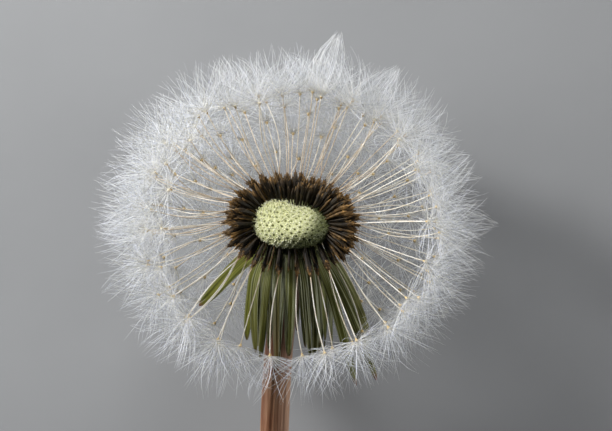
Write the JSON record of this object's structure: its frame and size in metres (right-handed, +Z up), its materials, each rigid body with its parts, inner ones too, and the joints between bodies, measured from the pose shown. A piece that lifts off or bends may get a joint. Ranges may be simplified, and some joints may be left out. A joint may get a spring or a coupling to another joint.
{
  "type": "dandelion seed head",
  "caption": "Picked dandelion clock lying on its seed hairs and cut stem: half-bare receptacle, brown seeds on thin beaks, white parachutes, green bracts bent back.",
  "frame": {"origin": "on the surface it lies on, under the middle of its outline", "axes": "+Z up, +Y from the cut stem towards the top of the head, +X to the right when seen from above with the stem towards the viewer"},
  "size_m": [0.0482, 0.0826, 0.0373],
  "materials": {
    "stem": "smooth reddish-brown stem skin, faint lengthwise ridges",
    "receptacle": "pale yellow-green, papillae between small dark pits",
    "bracts": "green with lengthwise veins, paler edges, some brown tips",
    "achenes": "dull dark brown, ribbed",
    "parachutes": "fine white hairs on cream beaks"
  },
  "bodies": {
    "root": {"stem": "stem", "receptacle": "receptacle", "bracts": "bracts", "achenes": "achenes", "parachutes": "parachutes"}
  },
  "joints": []
}
